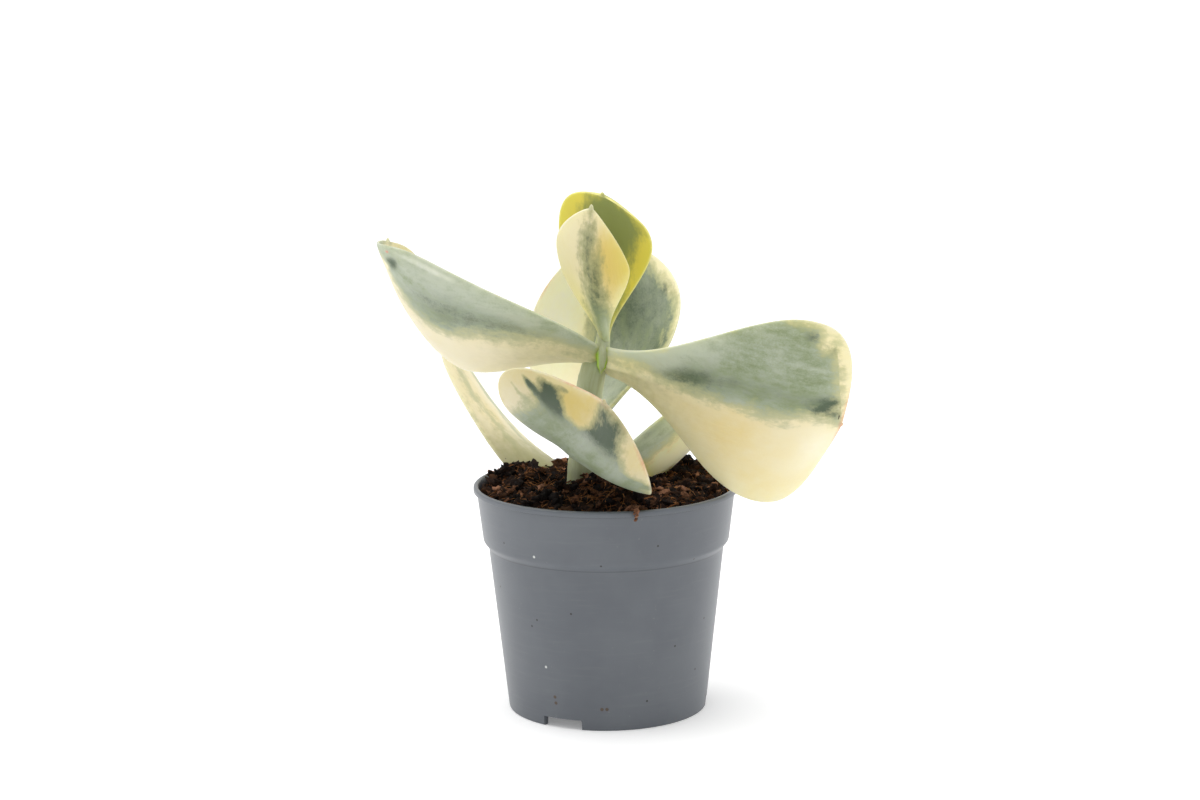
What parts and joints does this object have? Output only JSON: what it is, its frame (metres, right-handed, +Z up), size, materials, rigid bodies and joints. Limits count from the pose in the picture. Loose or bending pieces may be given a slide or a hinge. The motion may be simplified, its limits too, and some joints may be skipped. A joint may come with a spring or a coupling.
{
  "type": "potted succulent",
  "caption": "Young variegated silver crown succulent with broad fleshy crossed leaves, standing in a small round nursery pot filled with peat.",
  "frame": {"origin": "middle of the whole part's footprint, at the level the pot stands on; the pot's own axis stands a few millimetres off it because the leaves reach further to one side", "axes": "+Z up; -Y is the side the picture shows; +X to the right as seen from there, the way the big right leaf points"},
  "size_m": [0.1496, 0.1284, 0.1668],
  "materials": {
    "pot_plastic": "satin",
    "peat": "rough, crumbly",
    "stem_green": "satin",
    "leaf": "waxy, soft sheen with a pale bloom"
  },
  "bodies": {
    "root": {"pot": "pot_plastic", "soil": "peat", "stem": "stem_green", "leaf_low_left": "leaf", "leaf_low_right": "leaf", "leaf_front": "leaf", "leaf_back": "leaf", "leaf_big_left": "leaf", "leaf_big_right": "leaf", "leaf_top_front": "leaf", "leaf_top_back": "leaf"}
  },
  "joints": []
}
